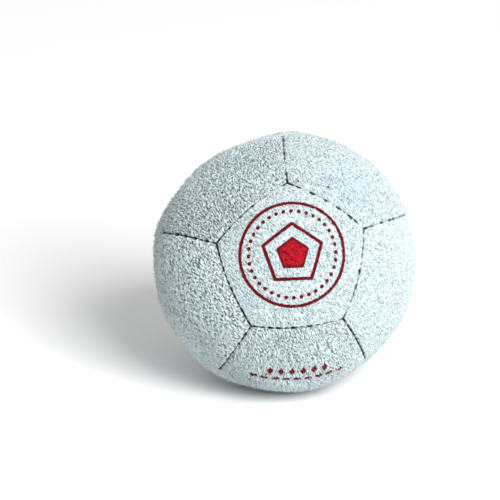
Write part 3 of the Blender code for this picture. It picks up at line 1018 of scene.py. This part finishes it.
@dataclass
class SuedePanel:
    """One suede panel: its face with the nap's relief, its tight rolled edges and its seam allowances."""

    name: str
    ball: Ball
    seams: list[Seam]
    rings: int = 180
    inner_rings: int = 12

    # The rolled edge and the seam allowances
    thickness: float = 1.2 * MM
    roll_width: float = 0.90 * MM
    roll_depth: float = 0.95 * MM
    roll_steps: int = 7
    least_gap: float = 0.02 * MM
    allowance_depths: tuple[float, ...] = (1.3 * MM, 1.9 * MM, 2.8 * MM, 4.6 * MM)

    # How far the nap bridges the seams, and how far the lips must part for painted shade in the fold
    seam_reach: float = 6 * MM
    bridge_share: float = 0.8
    fold_shade_gap: Span = (0.16 * MM, 0.60 * MM)
    fold_shade_start: float = 0.30 * MM
    fold_shade_span: float = 0.40 * MM

    # The nap's relief, with its way in the row frame before each panel's own turn
    bundle_size: Place = (0.95 * MM, 0.30 * MM, 0.30 * MM)
    bundle_relief: float = 0.38 * MM
    bundle_crispness: float = 2.4
    bundle_seed: int = 101
    clump_size: Place = (2.2 * MM, 1.5 * MM, 1.5 * MM)
    clump_relief: float = 0.03 * MM
    clump_seed: int = 201
    ink_press_share: float = 0.45
    ink_press_width: float = 0.3 * MM
    nap_depth: float = 0.8 * MM
    nap_heading: Place = (0.70, -0.24, -0.66)
    nap_turn_step: float = 37
    nap_turn_span: float = 80
    panel_spacing_mm: float = 97

    # The marks of the side that nobody sees, and the panel's place on the bake map
    # The unseen inside gets part of the painted fold shade
    inner_fold_shade: float = 0.4
    inner_ink_mm: float = 9
    map_row_step: float = 0.02
    map_inner_reaches: Place = (0.12, 0.11, 0.10)

    number: int = field(init=False)
    look: PanelLook = field(init=False)
    nap_axes: Array = field(init=False)
    cover: Array = field(init=False)
    placed: Array = field(init=False)
    marks: dict[str, Array] = field(init=False)

    def __post_init__(self) -> None:
        """Choose the panel's own seams and look, and lay its nap's directions."""
        self.seams = [seam for seam in self.seams if self.name in (seam.first, seam.second)]
        self.number = NAMES.index(self.name)
        plain_turn = self.number * self.nap_turn_step % self.nap_turn_span - self.nap_turn_span / 2
        self.look = PANEL_LOOKS.get(self.name, PanelLook(plain_turn))
        facing = FACINGS[self.name]
        lying = np.array(self.nap_heading) @ self.ball.turn
        lying = unit(lying - facing * (facing @ lying))
        turn = radians(self.look.nap_turn)
        along = cos(turn) * lying + sin(turn) * np.cross(facing, lying)
        self.nap_axes = np.stack([along, np.cross(facing, along), facing], axis=1)

    def roll_row(self, step: int) -> Span:
        """The inset and radius of one row of the rolled edge, from the face to its foot."""
        angle = step / self.roll_steps * pi / 2
        inset = self.least_gap + self.roll_width * (1 - sin(angle))
        return inset, self.ball.edge_radius - self.roll_depth * (1 - cos(angle))

    def lower_rows(self) -> list[Span]:
        """The insets and radii of the rows below the face: the rolled edge and the allowance's outer side."""
        rows = [self.roll_row(step) for step in range(1, self.roll_steps + 1)]
        return rows + [(self.least_gap, self.ball.edge_radius - depth) for depth in self.allowance_depths]

    def outer_places(self) -> tuple[Array, Array]:
        """Lay out the face, the rolled edge and the allowances' outer faces, without relief.

        Returns:
            The points on the canonical ball, and each one's depth below the sewn edge's surface.
        """
        headings = face_headings(self.rings, *self.roll_row(0))
        face = headings * self.ball.outer_radius(headings)[:, None]
        rim = slice(ring_start(self.rings), None)
        sides, shares, _ = ring_places(self.rings)
        rows = self.lower_rows()
        below = [row_points(sides[rim], shares[rim], *row) for row in rows]
        depths = [np.zeros(len(face))]
        depths += [np.full(SIDES * self.rings, self.ball.edge_radius - radius) for _, radius in rows]
        return np.concatenate([face, *below]) @ panel_rotation(FACINGS[self.name]).T, np.concatenate(depths)

    def inner_places(self) -> Array:
        """Lay out the allowances' inner faces and the face's underside.

        Returns:
            The points on the canonical ball.
        """
        sides, shares, _ = ring_places(self.rings)
        rim = slice(ring_start(self.rings), None)
        edge_radius, wall = self.ball.edge_radius, self.least_gap + self.thickness
        radii = (edge_radius - self.allowance_depths[-1], edge_radius - self.roll_depth - self.thickness / 2)
        walls = [row_points(sides[rim], shares[rim], wall, radius) for radius in radii]
        headings = face_headings(self.inner_rings, wall + self.thickness / 2, edge_radius)
        under = headings * (self.ball.outer_radius(headings) - self.thickness)[:, None]
        return np.concatenate([*walls, under]) @ panel_rotation(FACINGS[self.name]).T

    def flat_places(self) -> Array:
        """Lay the sheet out for baking: the face and its edges over the map, the inside in a corner of it.

        Returns:
            The place of each corner on the map.
        """
        sides, shares, reaches = ring_places(self.rings)
        rim = slice(ring_start(self.rings), None)
        rows = len(self.lower_rows())
        *walls, under = self.map_inner_reaches
        scales = [1 + self.map_row_step * (row + 1) for row in range(rows)] + walls
        outlines = [(sides, shares, reaches)]
        outlines += [(sides[rim], shares[rim], reaches[rim] * scale) for scale in scales]
        sides, shares, reaches = ring_places(self.inner_rings)
        outlines.append((sides, shares, reaches * under))
        corners = circle(SIDES, SIDES / 4)
        places = []
        for number, (side, share, reach) in enumerate(outlines):
            start, end = corners[side], corners[(side + 1) % SIDES]
            middle, size = OUTSIDE_ON_MAP if number <= rows else INSIDE_ON_MAP
            places.append(middle + size * (start + (end - start) * share[:, None]) * reach[:, None])
        return np.concatenate(places)

    def triangles(self) -> Array:
        """Face the whole closed sheet: the face, its edges and walls, the underside and the turn to it.

        Returns:
            The faces, anticlockwise from outside.
        """
        count, coarse_count = SIDES * self.rings, SIDES * self.inner_rings
        rows = len(self.lower_rows()) + 2
        starts = ring_start(self.rings) + count * np.arange(rows + 1)
        faces = [pentagon_triangles(self.rings)]
        faces += [band_triangles(inner, outer, count) for inner, outer in zip(starts, starts[1:])]
        under = starts[-1] + count
        faces.append(pentagon_triangles(self.inner_rings)[:, ::-1] + under)
        rim, fine_per_coarse = under + ring_start(self.inner_rings), count // coarse_count
        steps, coarse = np.arange(count), np.arange(coarse_count)
        turned = (starts[-1] + steps, rim + steps // fine_per_coarse, starts[-1] + (steps + 1) % count)
        meeting = starts[-1] + (coarse + 1) * fine_per_coarse % count
        filled = (rim + coarse, rim + (coarse + 1) % coarse_count, meeting)
        return np.concatenate([*faces, np.stack(turned, axis=1), np.stack(filled, axis=1)])

    def sewn(self, points: Array, depths: Array) -> tuple[Array, Array, Array]:
        """Part the lips at the stitches, pull dimples beside them and let the nap bridge the fold elsewhere.

        Args:
            points: the outer face on the canonical ball.
            depths: how deep each point lies below the sewn edge.

        Returns:
            The moved points, their depths below the nap and a share of painted shade inside the fold, where
            the lips part.
        """
        moved = points.copy()
        headings = unit(points)
        opening = np.zeros(len(points))
        for seam in self.seams:
            inward = -seam.normal if self.name == seam.first else seam.normal
            off = np.maximum(points @ inward, 0)
            near = np.flatnonzero(off < self.seam_reach)
            parting, closeness = seam.parting(seam.share_along(headings[near]))
            reach = np.exp(-off[near] / seam.lip_reach) * bell(depths[near], seam.mouth_depth)
            moved[near] += inward * (parting * reach)[:, None]
            dimple = seam.dimple_depth * closeness * bell(off[near], seam.dimple_width) * (depths[near] == 0)
            moved[near] -= headings[near] * dimple[:, None]
            parted = ease((2 * parting - self.fold_shade_gap[0]) / np.ptp(self.fold_shade_gap))
            opening[near] = np.maximum(opening[near], parted * bell(off[near], seam.lip_reach))
        bridged = self.bridge_share * (1 - opening)
        reach = np.interp(depths, (0, self.roll_depth, self.allowance_depths[2]), (0, self.roll_depth, 0))
        # Painted shade deep in the fold, where the lips part
        fold = ease((depths - self.fold_shade_start) / self.fold_shade_span) * opening
        return moved + headings * (reach * bridged)[:, None], depths * (1 - bridged), fold

    def napped(self, points: Array, depths: Array, apart: Array) -> tuple[Array, Array]:
        """Raise the nap's bundles and clumps on the face.

        Args:
            points: the outer face on the canonical ball.
            depths: how deep each point lies below the sewn edge.
            apart: the distance outside the print, below zero in it.

        Returns:
            The raised points, and the bundles' height from -1 to 1.
        """
        laid = self.along_nap(points)
        bundles = noise(laid / self.bundle_size, self.bundle_seed + self.number, even=True)
        bundles = np.tanh(self.bundle_crispness * bundles)
        clumps = noise(laid / self.clump_size, self.clump_seed + self.number)
        relief = (bundles * self.bundle_relief + clumps * self.clump_relief) * self.look.relief
        pressed = 1 - self.ink_press_share * ease(-apart / self.ink_press_width)
        rise = relief * pressed * (1 - ease(depths / self.nap_depth))
        return points + unit(points) * rise[:, None], bundles

    def along_nap(self, points: Array) -> Array:
        """The points' places along the nap, across it and above the cover, as if the panel were flat."""
        return laid_flat(points, FACINGS[self.name], self.ball.radius) @ self.nap_axes

    def print_distance(self, points: Array) -> Array:
        """Measure how far points lie outside this panel's print and specks, along the cover.

        Args:
            points: places on the canonical ball.

        Returns:
            The distances, below zero in the ink.
        """
        radius, facing = self.ball.radius, FACINGS[self.name]
        apart = [np.full(len(points), radius)]
        for speck in SPECKS.get(self.name, ()):
            off = np.linalg.norm(unit(points) - unit(np.array(speck)), axis=1) * radius
            apart.append(off - SPECK_RADIUS)
        mark = PRINTS.get(self.name)
        if mark:
            crest = self.ball.turn[2] if self.name == "front" else FACINGS["front"]
            up = unit(crest - facing * (facing @ crest))
            middle = unit(facing + (np.cross(up, facing) * mark.right + up * mark.up) / radius)
            up = unit(up - middle * (middle @ up))
            flat = laid_flat(points, middle, radius)
            apart.append(mark.distance(flat @ np.cross(up, middle), flat @ up))
        return np.minimum.reduce(apart)

    def build(self) -> Piece:
        """Make the panel's mesh, with the marks that its suede reads.

        Returns:
            The panel.
        """
        points, depths = self.outer_places()
        headings = unit(points)
        apart = self.print_distance(points)
        rise = self.ball.unevenness(headings)
        points, sunk, fold = self.sewn(points, depths)
        self.cover, pile = self.napped(points + headings * rise[:, None], sunk, apart)
        inner = self.inner_places()
        inner += unit(inner) * self.ball.unevenness(unit(inner))[:, None]
        sheet = np.concatenate([self.cover, inner])
        inside = np.ones(len(inner))
        self.marks = {
            "nap_place": self.along_nap(sheet) / MM + self.number * self.panel_spacing_mm,
            # The pile mark sets the painted shade in the nap's gaps, deeper on panels with more relief
            "pile": np.concatenate([pile * self.look.relief, inside * 0]),
            "fold": np.concatenate([fold, inside * self.inner_fold_shade]),
            "ink_mm": np.concatenate([apart / MM, inside * self.inner_ink_mm]),
            "stain": np.concatenate([self.look.stain * STAIN.at(unit(self.cover)), inside * 0]),
            # Tone: partly each panel's own, partly patches of painted light and shade
            "tone": self.look.tone + sum(patch.at(unit(sheet)) for patch in PAINTED_LIGHT_AND_SHADE),
        }
        self.placed = self.ball.settled(self.ball.to_row(sheet))
        name = f"suede_panel_{self.name}"
        piece = mesh_piece(name, self.placed, self.triangles(), self.marks, self.flat_places())
        LOG.info("%s: %d faces", name, len(piece.data.polygons))
        return piece

    def dress(self, piece: Piece, suede: bpy.types.Material) -> None:
        """Give the panel its suede, and let it stand for its solid.

        Args:
            piece: the panel's mesh object.
            suede: its finish.
        """
        piece.data.materials.append(suede)
        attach(piece, "root")
        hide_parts(f"panel_{self.name}")


@dataclass
class NapFuzz:
    """The loose fibres that stand out of one panel's nap, seen best against the light round the ball."""

    panel: SuedePanel
    seed: int = 500
    count: int = 4200
    sides: int = 3
    length: Span = (0.6 * MM, 1.4 * MM)
    root_radius: Span = (0.06 * MM, 0.18 * MM)
    root_scatter: float = 0.08 * MM
    sink: float = 0.08 * MM
    knee_share: float = 0.55
    knee_thickness: float = 0.7
    lie_share: float = 1.1
    scatter: float = 0.65
    bend_scatter: float = 0.3
    least_rise: float = 0.35
    aslant: float = 0.01
    droop: float = 0.25
    pressed_height: float = 6 * MM
    pressed_share: float = 0.15
    pile: Span = (0.0, 1.6)
    map_reaches: Span = (0.45, 0.25)

    def build(self) -> Piece:
        """Grow bent, tapered fibres on the face of the finished panel, whose marks they take over.

        Returns:
            The fibres as one mesh.
        """
        panel, count = self.panel, self.count
        chance = np.random.default_rng(self.seed + panel.number)
        roots = chance.integers(0, ring_start(panel.rings + 1), count)
        place = panel.placed[roots] + chance.normal(0, self.root_scatter, (count, 3))
        out = unit(place - panel.ball.centre)
        lie = panel.ball.turn @ panel.nap_axes[:, 0]
        lie = unit(lie - out * (out @ lie)[:, None])
        length = chance.uniform(*self.length, count)[:, None]
        length *= self.pressed_share + (1 - self.pressed_share) * ease(place[:, 2:] / self.pressed_height)
        thick = self.root_radius[0] + np.ptp(self.root_radius) * chance.uniform(0, 1, (count, 1, 1)) ** 2
        grow = unit(out + self.lie_share * lie + self.scatter * chance.normal(0, 1, (count, 3)))
        grow = unit(grow + out * np.maximum(0, self.least_rise - (grow * out).sum(axis=1))[:, None])
        bend = unit(grow - self.droop * out + self.bend_scatter * chance.normal(0, 1, (count, 3)))

        # The outward way is tilted a little, so that no fibre can run along it
        side = unit(np.cross(grow, out + self.aslant))
        ring = circle(self.sides) @ np.stack([side, np.cross(grow, side)], axis=1) * thick
        base = place - out * self.sink
        knee = base + grow * length * self.knee_share
        tip = knee + bend * length * (1 - self.knee_share)
        rows = (base[:, None] + ring, knee[:, None] + ring * self.knee_thickness, tip[:, None])
        corners = np.concatenate(rows, axis=1)
        apart = (corners - panel.placed[roots][:, None]) @ panel.ball.turn
        print_places = (panel.cover[roots][:, None] + apart).reshape(-1, 3)
        marks = {name: values[roots] for name, values in panel.marks.items()}
        marks["pile"] = marks["pile"] + chance.uniform(*self.pile, count)
        marks = {name: np.repeat(values, corners.shape[1], axis=0) for name, values in marks.items()}
        marks["ink_mm"] = panel.print_distance(print_places) / MM
        points = corners.reshape(-1, 3)
        points[:, 2] = np.maximum(points[:, 2], 0)
        name = f"suede_nap_{panel.name}"
        piece = mesh_piece(name, points, self.triangles(), marks, self.flat_places())
        LOG.info("%s: %d fibres", name, count)
        return piece

    def triangles(self) -> Array:
        """Face every fibre: its foot, its sides up to the knee and its tip.

        Returns:
            The faces, anticlockwise from outside.
        """
        steps = np.arange(self.sides)
        after, knee = (steps + 1) % self.sides, steps + self.sides
        knee_after, tip = after + self.sides, np.full(self.sides, 2 * self.sides)
        sides = ((steps, after, knee), (after, knee_after, knee), (knee, knee_after, tip))
        one = np.concatenate([[(0, 2, 1)], np.array(sides).transpose(2, 0, 1).reshape(-1, 3)])
        return (one + np.arange(self.count)[:, None, None] * (2 * self.sides + 1)).reshape(-1, 3)

    def flat_places(self) -> Array:
        """Lay each fibre out for baking in a cell of its own, seen from its tip."""
        rings = [circle(self.sides) * reach for reach in self.map_reaches]
        return cell_places(self.count, np.concatenate([*rings, [[0, 0]]]))

    def dress(self, piece: Piece, suede: bpy.types.Material) -> None:
        """Give the fibres their panel's suede.

        Args:
            piece: the fibres' mesh object.
            suede: their finish.
        """
        piece.data.materials.append(suede)
        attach(piece, "root")


@dataclass
class SeamThread:
    """The running stitch of one seam, as a plied thread that crosses between the panels at each stitch."""

    seam: Seam
    radius: float = 0.30 * MM
    ply_count: int = 3
    ply_depth_share: float = 0.16
    lay_length: float = 2.2 * MM
    sides: int = 12
    steps_per_span: int = 6
    crossing_depth: float = 0.80 * MM
    crossing_offset: float = 0.45 * MM
    shoulder_depth: float = 1.35 * MM
    shoulder_share: float = 0.72
    run_depth: float = 2.1 * MM
    run_offset: float = 1.75 * MM
    tail_depth: float = 4.0 * MM
    tail_shares: Span = (0.30, 0.35)
    slant_share: float = 0.12
    slants: Span = (1.6, 0.7)
    map_width: float = 0.9
    map_cap: Span = (0.95, 0.04)

    def waypoints(self) -> Array:
        """Lay out the thread's way, which runs along one side of the seam and crosses over at each stitch.

        Returns:
            The share along the seam, the offset across it and the depth of each point.
        """
        stitches = self.seam.stitches
        shoulder, crossing = (slant * self.slant_share for slant in self.slants)
        far, near = self.run_offset * self.shoulder_share, self.crossing_offset
        end, start = self.tail_shares
        way = [(end, self.run_offset, self.tail_depth), (start, self.run_offset, self.run_depth)]
        for stitch in range(stitches):
            place, hand = stitch + 1 / 2, 1 if stitch % 2 == 0 else -1
            way += [
                (place - shoulder, hand * far, self.shoulder_depth),
                (place - crossing, hand * near, self.crossing_depth),
                (place + crossing, -hand * near, self.crossing_depth),
                (place + shoulder, -hand * far, self.shoulder_depth),
            ]
            if stitch + 1 < stitches:
                way.append((stitch + 1, -hand * self.run_offset, self.run_depth))
        last = self.run_offset * (1 if stitches % 2 == 0 else -1)
        way += [(stitches - start, last, self.run_depth), (stitches - end, last, self.tail_depth)]
        return np.array(way) / (stitches, 1, 1)

    def path(self) -> Array:
        """Draw a smooth line through the waypoints.

        Returns:
            Its points in the row frame.
        """
        way = self.waypoints()
        padded = np.concatenate([2 * way[:1] - way[1:2], way, 2 * way[-1:] - way[-2:-1]])
        before, start, end, after = padded[:-3], padded[1:-2], padded[2:-1], padded[3:]
        steps = (np.arange(self.steps_per_span) / self.steps_per_span)[:, None, None]
        smooth = 0.5 * (
            2 * start
            + (end - before) * steps
            + (2 * before - 5 * start + 4 * end - after) * steps ** 2
            + (3 * start - before - 3 * end + after) * steps ** 3
        )
        line = np.concatenate([smooth.transpose(1, 0, 2).reshape(-1, 3), way[-1:]])
        ball, headings = self.seam.ball, self.seam.heading(line[:, 0])
        radii = ball.edge_radius - line[:, 2] + ball.unevenness(headings)
        return ball.settled(ball.to_row(headings * radii[:, None] + self.seam.normal * line[:, 1:2]))

    def build(self) -> Piece:
        """Sweep the plied section along the path.

        Returns:
            The thread as one closed mesh.
        """
        path = self.path()
        ahead = unit(np.gradient(path, axis=0))
        side = unit(np.cross(ahead, unit(path - self.seam.ball.centre)))
        run = np.concatenate([[0], np.cumsum(np.linalg.norm(np.diff(path, axis=0), axis=1))])
        twist = (np.arange(self.sides) / self.sides - run[:, None] / self.lay_length) * tau
        ply = 0.5 + 0.5 * np.cos(self.ply_count * twist)
        reach = self.radius * (1 - self.ply_depth_share * (1 - ply))
        ring = circle(self.sides) @ np.stack([side, np.cross(side, ahead)], axis=1)
        points = (path[:, None] + ring * reach[..., None]).reshape(-1, 3)
        starts = np.arange(len(path)) * self.sides
        bands = [band_triangles(inner, outer, self.sides) for inner, outer in zip(starts, starts[1:])]
        spokes = np.arange(1, self.sides - 1)
        cap = np.stack([np.zeros_like(spokes), spokes, spokes + 1], axis=1)
        faces = np.concatenate([*bands, cap, cap[:, ::-1] + starts[-1]])
        name = f"stitching_{self.seam.first}-{self.seam.second}"
        piece = mesh_piece(name, points, faces, {"ply": ply.ravel()}, self.flat_places(faces, len(path)))
        LOG.info("%s: %.0f mm of thread", name, run[-1] / MM)
        return piece

    def flat_places(self, faces: Array, rows: int) -> Array:
        """Unroll the thread for baking: round it from left to right, and along it upwards.

        Args:
            faces: the thread's faces, whose last ones close its ends.
            rows: how many rings of corners it has.

        Returns:
            The places of each face's three corners.
        """
        around, along = faces % self.sides, faces // self.sides
        wrapped = np.ptp(around, axis=1, keepdims=True) > 1
        around = np.where(wrapped, around + (around == 0) * self.sides, around)
        flat = np.stack([around / self.sides * self.map_width, along / (rows - 1)], axis=-1)
        caps = 2 * (self.sides - 2)
        middle, reach = self.map_cap
        flat[-caps:] = middle + reach * circle(self.sides)[faces[-caps:] % self.sides]
        return flat

    def dress(self, piece: Piece, thread: bpy.types.Material) -> None:
        """Give the thread its finish, and let it stand for its solid.

        Args:
            piece: the thread's mesh object.
            thread: its finish.
        """
        piece.data.materials.append(thread)
        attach(piece, "root")
        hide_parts(f"thread_{self.seam.first}-{self.seam.second}")


@dataclass
class GranuleFilling:
    """The loose pellets that fill the ball, packed in staggered layers and shaken."""

    ball: Ball
    pitch: float = 4.1 * MM
    pellet_radius: float = 1.95 * MM
    pellet_sides: int = 6
    ring_tilts: Span = (0.28, 0.72)
    flatness: float = 0.8
    shake: float = 0.12 * MM
    skin: float = 1.75 * MM
    allowance_depth: float = 4.9 * MM
    allowance_half_width: float = 2.4 * MM
    packed_share: float = 1.3
    seed: int = 77
    map_reaches: Span = (0.2, 0.45)
    map_bottom: Span = (0.03, 0.02)

    def places(self, chance: np.random.Generator) -> Array:
        """Pack the pellets, clear of the cover and its allowances.

        Args:
            chance: the source of the shaking.

        Returns:
            Their middles on the canonical ball.
        """
        reach = int(self.ball.radius / self.pitch * self.packed_share) + 1
        span = np.arange(-reach, reach + 1)
        column, row, layer = (grid.ravel() for grid in np.meshgrid(span, span, span, indexing="ij"))
        rows = (column + (row + layer) % 2 / 2, (row + layer % 2 / 3) * sqrt(3) / 2, layer * sqrt(2 / 3))
        places = np.stack(rows, axis=1) * self.pitch + chance.uniform(-self.shake, self.shake, (len(row), 3))
        radii = np.linalg.norm(places, axis=1)
        headings = unit(places + 1e-9)
        room = self.ball.outer_radius(headings) - self.skin - self.pellet_radius
        nearness = np.sort(headings @ ALL_FACINGS.T, axis=1)
        off = radii * (nearness[:, -1] - nearness[:, -2]) / (2 * sin(NEIGHBOUR_TILT / 2))
        deep = radii < self.ball.edge_radius - self.allowance_depth - self.pellet_radius
        clear = deep | (off > self.allowance_half_width + self.pellet_radius)
        return places[(radii < room) & clear]

    def pellet(self) -> tuple[Array, Array]:
        """Shape one low, rounded pellet.

        Returns:
            Its corners round its middle, and its faces.
        """
        around = self.pellet_sides
        steps = np.arange(around)
        after, bottom = (steps + 1) % around, np.full(around, 1 + 2 * around)
        rings = [
            np.column_stack([sin(tilt * pi) * circle(around, shift), np.full(around, cos(tilt * pi))])
            for tilt, shift in zip(self.ring_tilts, (0, 0.5))
        ]
        bead = np.concatenate([[[0, 0, 1]], *rings, [[0, 0, -1]]])
        corners = bead * (1, 1, self.flatness) * self.pellet_radius
        sides = (
            (steps * 0, 1 + steps, 1 + after),
            (1 + steps, 1 + around + steps, 1 + after),
            (1 + around + steps, 1 + around + after, 1 + after),
            (1 + around + steps, bottom, 1 + around + after),
        )
        return corners, np.concatenate([np.stack(side, axis=1) for side in sides])

    def build(self) -> Piece:
        """Turn a pellet another way at each place.

        Returns:
            The pellets as one mesh.
        """
        chance = np.random.default_rng(self.seed)
        places = self.places(chance)
        corners, faces = self.pellet()
        axes = unit(chance.normal(0, 1, (len(places), 3)))
        side = unit(np.cross(axes, chance.normal(0, 1, (len(places), 3))))
        frames = np.stack([side, np.cross(axes, side), axes], axis=1)
        points = (corners @ frames + places[:, None]).reshape(-1, 3)
        all_faces = (faces + np.arange(len(places))[:, None, None] * len(corners)).reshape(-1, 3)
        rings = [circle(self.pellet_sides) * reach for reach in self.map_reaches]
        flat = cell_places(len(places), np.concatenate([[[0, 0]], *rings, [self.map_bottom]]))
        placed = self.ball.settled(self.ball.to_row(points))
        piece = mesh_piece("filling_granules", placed, all_faces, flat=flat)
        LOG.info("%s: %d pellets", piece.name, len(places))
        return piece

    def dress(self, piece: Piece, plastic: bpy.types.Material) -> None:
        """Give the pellets their finish, and let them stand for their solid.

        Args:
            piece: the pellets' mesh object.
            plastic: their finish.
        """
        piece.data.materials.append(plastic)
        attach(piece, "root")
        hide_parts("granule_filling")


@dataclass
class Studio:
    """The pale sweep that the ball rests on, one large soft lamp at the right and even light all round."""

    ball: Ball
    floor_half_width: float = 3.0
    floor_albedo: float = 0.80
    floor_seen: float = 1.18
    ambient: float = 0.43
    key_azimuth: float = -58
    key_elevation: float = 32.5
    key_distance: float = 2.5
    key_width: float = 1.27
    key_height: float = 1.38
    key_level: float = 1.16
    camera_elevation: float = 20
    camera_distance: float = 1.60
    picture_pixels: int = 500
    ball_pixel: Span = (284.5, 262.5)
    ball_pixel_radius: float = 130.5
    sensor_width_mm: float = 36

    def add_floor(self) -> None:
        """Lay a matt floor, drawn as the white of the backdrop where the camera sees it unshaded."""
        half = self.floor_half_width
        points = np.array([(-half, -half, 0), (half, -half, 0), (half, half, 0), (-half, half, 0)])
        floor = mesh_piece("studio_floor", points, np.array([(0, 1, 2), (0, 2, 3)]))
        material = bpy.data.materials.new("paper_matt_sweep")
        add = cleared(material)
        seen = add("LightPath", output="Is Camera Ray")
        level = add("MapRange", dict(zip(TO, (self.floor_albedo, self.floor_seen))), {"Value": seen})
        add("OutputMaterial", links={"Surface": add("BsdfDiffuse", links={"Color": level})})
        floor.data.materials.append(material)

    def add_world(self) -> None:
        """Light the room evenly, and show it white to the camera and in reflections."""
        world = bpy.data.worlds.new("studio_room")
        add = cleared(world)
        seen = add("LightPath", output="Is Camera Ray")
        rays = seen.node.outputs
        for kind in ("Is Glossy Ray", "Is Transmission Ray"):
            seen = add("Math", {"operation": "MAXIMUM"}, {0: seen, 1: rays[kind]})
        strength = add("MapRange", dict(zip(TO, (self.ambient, 1.0))), {"Value": seen})
        light = add("Background", {"Color": linear("#ffffff")}, {"Strength": strength})
        add("OutputWorld", links={"Surface": light})
        bpy.context.scene.world = world

    def add_key(self) -> None:
        """Hang the large soft lamp at the right, on the camera's side."""
        lamp = bpy.data.lights.new("soft_key", "AREA")
        lamp.shape = "RECTANGLE"
        lamp.size, lamp.size_y = self.key_width, self.key_height
        lamp.energy = self.key_level * pi ** 2 * self.key_distance ** 2
        towards = direction(radians(90 - self.key_elevation), radians(self.key_azimuth))
        key = bpy.data.objects.new("soft_key", lamp)
        key.location = self.ball.centre + towards * self.key_distance
        key.rotation_mode = "QUATERNION"
        key.rotation_quaternion = Vector(towards).to_track_quat("Z", "Y")
        bpy.context.scene.collection.objects.link(key)

    def add_camera(self) -> None:
        """Stand the camera in front, looking down a little past the ball, which fills its named pixels."""
        tilt = radians(self.camera_elevation)
        distance, radius = self.camera_distance, self.ball.radius
        focal_pixels = self.ball_pixel_radius * sqrt(distance ** 2 - radius ** 2) / radius
        forward = Vector((0, cos(tilt), -sin(tilt)))
        right, up = Vector((1, 0, 0)), Vector((0, sin(tilt), cos(tilt)))
        offsets = ((pixel - self.picture_pixels / 2) / focal_pixels for pixel in self.ball_pixel)
        offset_right, offset_down = offsets
        aim = (forward - right * offset_right + up * offset_down).normalized()
        data = bpy.data.cameras.new("studio_camera")
        data.sensor_width = self.sensor_width_mm
        data.lens = focal_pixels / self.picture_pixels * self.sensor_width_mm
        camera = bpy.data.objects.new("studio_camera", data)
        camera.location = Vector(self.ball.centre) - forward * distance
        camera.rotation_mode = "QUATERNION"
        camera.rotation_quaternion = aim.to_track_quat("-Z", "Y")
        bpy.context.scene.collection.objects.link(camera)
        bpy.context.scene.camera = camera

    def build(self) -> None:
        """Set up the floor, the light and the camera."""
        self.add_floor()
        self.add_world()
        self.add_key()
        self.add_camera()
        bpy.context.scene.view_settings.view_transform = "Standard"


def main() -> None:
    """Build and dress the ball, piece by piece, then its studio."""
    logging.basicConfig(level=logging.INFO, format="%(name)s: %(message)s")
    ball = Ball()
    LOG.info("ball: radius %.2f mm, centre %.2f mm above the floor", ball.radius / MM, ball.centre[2] / MM)
    seams = all_seams(ball)
    suede, thread, plastic = SuedeFinish().material(), WAXED_THREAD.material(), PELLET_PLASTIC.material()
    for name in NAMES:
        panel = SuedePanel(name, ball, seams)
        panel.dress(panel.build(), suede)
        fuzz = NapFuzz(panel)
        fuzz.dress(fuzz.build(), suede)
    for seam in seams:
        stitching = SeamThread(seam)
        stitching.dress(stitching.build(), thread)
    filling = GranuleFilling(ball)
    filling.dress(filling.build(), plastic)
    Studio(ball).build()


if __name__ == "__main__":
    main()
